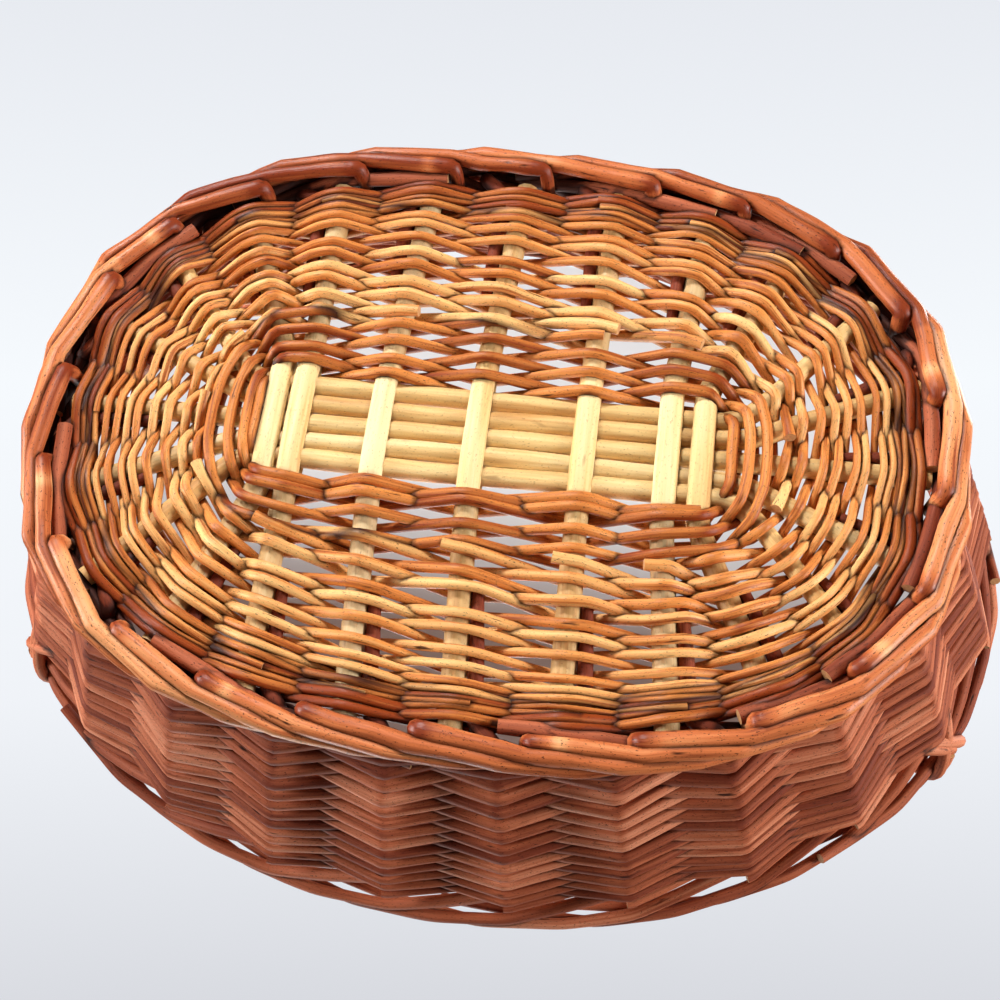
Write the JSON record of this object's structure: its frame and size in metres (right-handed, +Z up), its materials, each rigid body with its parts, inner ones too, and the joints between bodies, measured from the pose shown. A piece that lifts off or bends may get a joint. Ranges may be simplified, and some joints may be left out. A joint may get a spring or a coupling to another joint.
{
  "type": "gathering basket",
  "caption": "Oval willow gathering basket with a stick base, woven flared side, plaited foot and rim, and a roped ear handle at each end.",
  "frame": {"origin": "on the ground under the middle of the basket, at the level faces of the foot", "axes": "+X along the oval's length towards the right handle, +Y to the back, +Z up out of the open mouth"},
  "size_m": [0.432, 0.328, 0.1767],
  "materials": {
    "cream_stick": "peeled pale willow, satin",
    "honey_rod": "buff willow, satin",
    "rose_rod": "pinkish buff willow, satin",
    "amber_rod": "thick buff willow, soft gloss"
  },
  "bodies": {
    "root": {"long_stick_1": "cream_stick", "long_stick_2": "cream_stick", "long_stick_3": "cream_stick", "long_stick_4": "cream_stick", "long_stick_5": "cream_stick", "cross_stick_1": "cream_stick", "cross_stick_2": "cream_stick", "cross_stick_3": "cream_stick", "cross_stick_4": "cream_stick", "cross_stick_5": "cream_stick", "cross_stick_6": "cream_stick", "cross_stick_7": "cream_stick", "base_binder_a": "honey_rod", "base_binder_b": "honey_rod", "base_weaver_a": "honey_rod", "base_weaver_b": "honey_rod", "stake_01": "rose_rod", "stake_02": "rose_rod", "stake_03": "rose_rod", "stake_04": "rose_rod", "stake_05": "rose_rod", "stake_06": "rose_rod", "stake_07": "rose_rod", "stake_08": "rose_rod", "stake_09": "rose_rod", "stake_10": "rose_rod", "stake_11": "rose_rod", "stake_12": "rose_rod", "stake_13": "rose_rod", "stake_14": "rose_rod", "stake_15": "rose_rod", "stake_16": "rose_rod", "stake_17": "rose_rod", "stake_18": "rose_rod", "stake_19": "rose_rod", "stake_20": "rose_rod", "stake_21": "rose_rod", "stake_22": "rose_rod", "stake_23": "rose_rod", "stake_24": "rose_rod", "side_weaver_a": "rose_rod", "side_weaver_b": "rose_rod", "foot_border": "amber_rod", "handle_bow_left": "amber_rod", "handle_bow_right": "amber_rod", "handle_wrap_left": "amber_rod", "handle_wrap_right": "amber_rod", "handle_lashing_1": "amber_rod", "handle_lashing_2": "amber_rod", "handle_lashing_3": "amber_rod", "handle_lashing_4": "amber_rod"}
  },
  "joints": []
}
